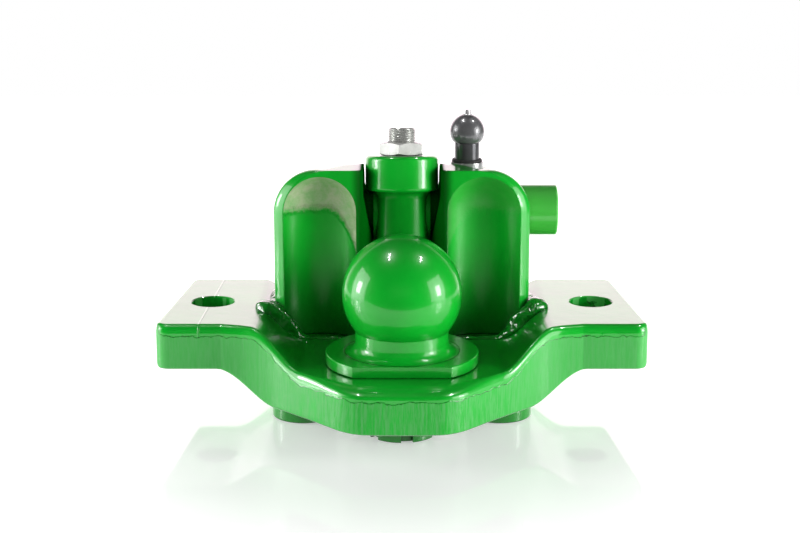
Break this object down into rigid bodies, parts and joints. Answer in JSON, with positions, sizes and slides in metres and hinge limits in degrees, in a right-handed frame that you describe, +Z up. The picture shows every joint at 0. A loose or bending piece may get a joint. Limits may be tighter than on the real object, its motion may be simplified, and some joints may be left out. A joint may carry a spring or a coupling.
{
  "type": "tractor ball hitch",
  "caption": "Ball hitch on a joggled plate, with twin cast uprights, a swing-back hold-down on a cross axle and a spring plunger that locks the axle.",
  "frame": {"origin": "middle of the lower end face of the ball's shank, which stands on the floor", "axes": "+Z up along the ball's axis, +X towards the side with the locking plunger, -Y towards the towed side where the ball is"},
  "size_m": [0.3346, 0.206, 0.2073],
  "materials": {
    "base_plate": "glossy green paint over a flame-cut edge",
    "locating_boss_left": "glossy green paint",
    "locating_boss_right": "glossy green paint",
    "hitch_ball": "glossy green paint",
    "ball_nut": "glossy green paint",
    "split_pin": "zinc plate",
    "upright_left": "glossy green paint",
    "upright_right": "glossy green paint",
    "grease_nipple_left": "zinc plate",
    "grease_nipple_right": "zinc plate",
    "axle_bush_left": "bronze",
    "axle_bush_right": "bronze",
    "stop_bar": "glossy green paint",
    "hold_down_arm": "glossy green paint",
    "clamp_stud": "zinc plate",
    "lock_nut": "zinc plate",
    "pivot_axle": "glossy green paint on the head",
    "axle_washer": "zinc plate",
    "axle_circlip": "dark spring steel",
    "axle_roll_pin": "dark spring steel",
    "plunger_housing": "bright turned steel",
    "plunger_seal": "black rubber",
    "plunger_spring": "bright spring steel",
    "plunger_pin": "bright turned steel",
    "plunger_sleeve": "dark polished steel",
    "plunger_knob": "dark grey satin metallic"
  },
  "bodies": {
    "hitch": {"base_plate": "base_plate", "locating_boss_left": "locating_boss_left", "locating_boss_right": "locating_boss_right", "hitch_ball": "hitch_ball", "ball_nut": "ball_nut", "split_pin": "split_pin", "upright_left": "upright_left", "upright_right": "upright_right", "grease_nipple_left": "grease_nipple_left", "grease_nipple_right": "grease_nipple_right", "axle_bush_left": "axle_bush_left", "axle_bush_right": "axle_bush_right", "stop_bar": "stop_bar", "plunger_housing": "plunger_housing", "plunger_seal": "plunger_seal", "plunger_spring": "plunger_spring"},
    "hold_down": {"hold_down_arm": "hold_down_arm", "clamp_stud": "clamp_stud", "lock_nut": "lock_nut", "pivot_axle": "pivot_axle", "axle_washer": "axle_washer", "axle_circlip": "axle_circlip", "axle_roll_pin": "axle_roll_pin"},
    "plunger": {"plunger_pin": "plunger_pin", "plunger_sleeve": "plunger_sleeve", "plunger_knob": "plunger_knob"}
  },
  "joints": [
    {"name": "hold_down_swing", "type": "hinge", "parent": "hitch", "child": "hold_down", "pos_m": [0, 0.09, 0.1356], "axis": [-1, 0, 0], "range_deg": [0, 82.5]},
    {"name": "plunger_slide", "type": "slide", "parent": "hitch", "child": "plunger", "axis": [0, 0, 1], "range_m": [-0.008, 0], "deforming": ["plunger_spring"]}
  ]
}
